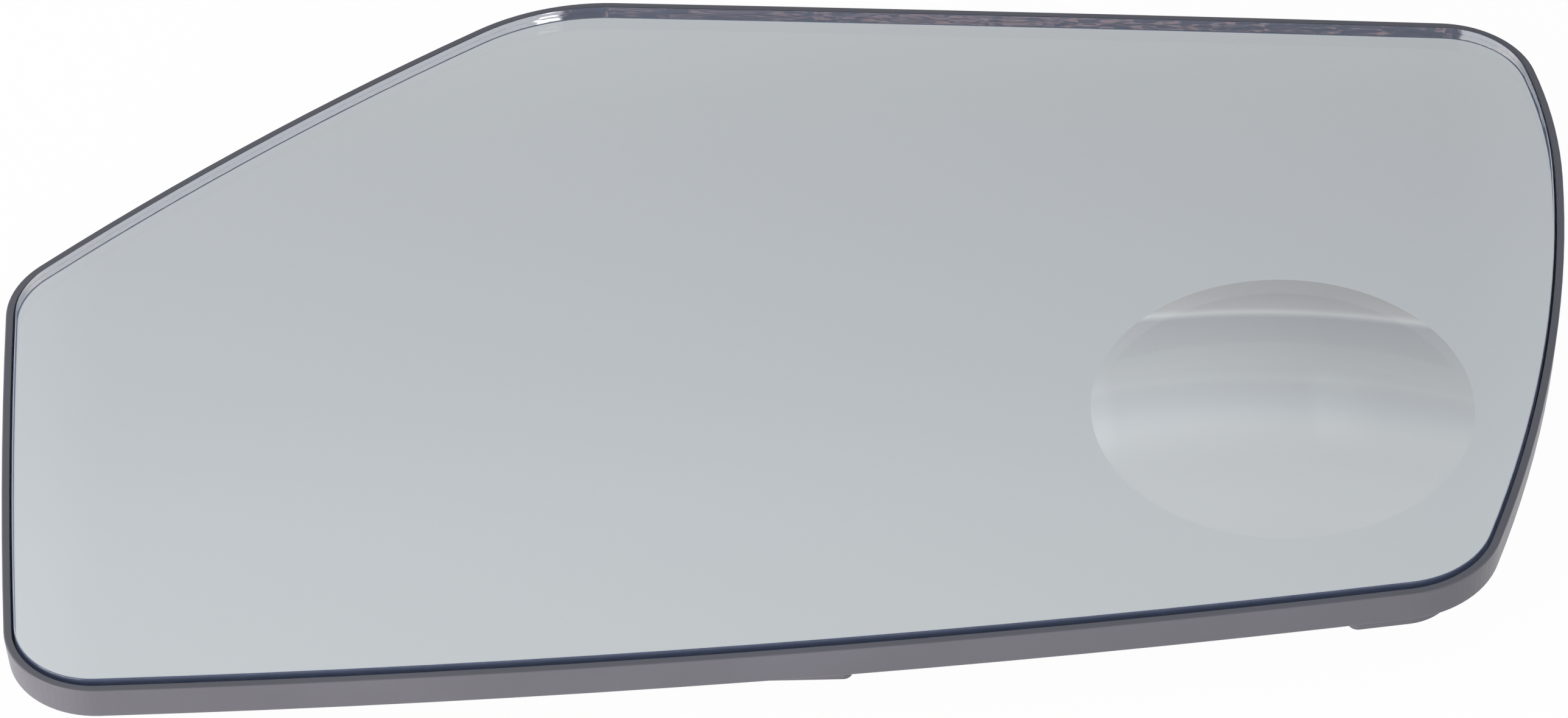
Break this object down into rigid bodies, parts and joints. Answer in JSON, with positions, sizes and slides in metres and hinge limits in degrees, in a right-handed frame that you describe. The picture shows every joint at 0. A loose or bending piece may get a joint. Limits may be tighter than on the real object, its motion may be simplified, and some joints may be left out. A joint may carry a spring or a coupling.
{
  "type": "door mirror glass",
  "caption": "Car door mirror glass with a slanted upper corner and a round wide-angle spot, bonded into a black rimmed backing plate that snaps onto the mirror motor.",
  "frame": {"origin": "centre of the round seat on the rear of the backing plate, in the plane that rests on the mirror motor's retainer", "axes": "+Z out of the glass toward the driver, +X along the mirror's length toward the end with the wide-angle spot, +Y across its height toward the straight long edge; the part lies on its back, on the tips of its hooks"},
  "size_m": [0.2002, 0.1294, 0.0137],
  "materials": {
    "silvered_glass": "polished, silvered on the rear face",
    "foam_adhesive": "fine foam, self-adhesive on both faces",
    "black_plastic": "moulded, fine spark-eroded grain"
  },
  "bodies": {
    "root": {"mirror_glass": "silvered_glass", "adhesive_pad": "foam_adhesive", "backing_plate": "black_plastic"}
  },
  "joints": []
}
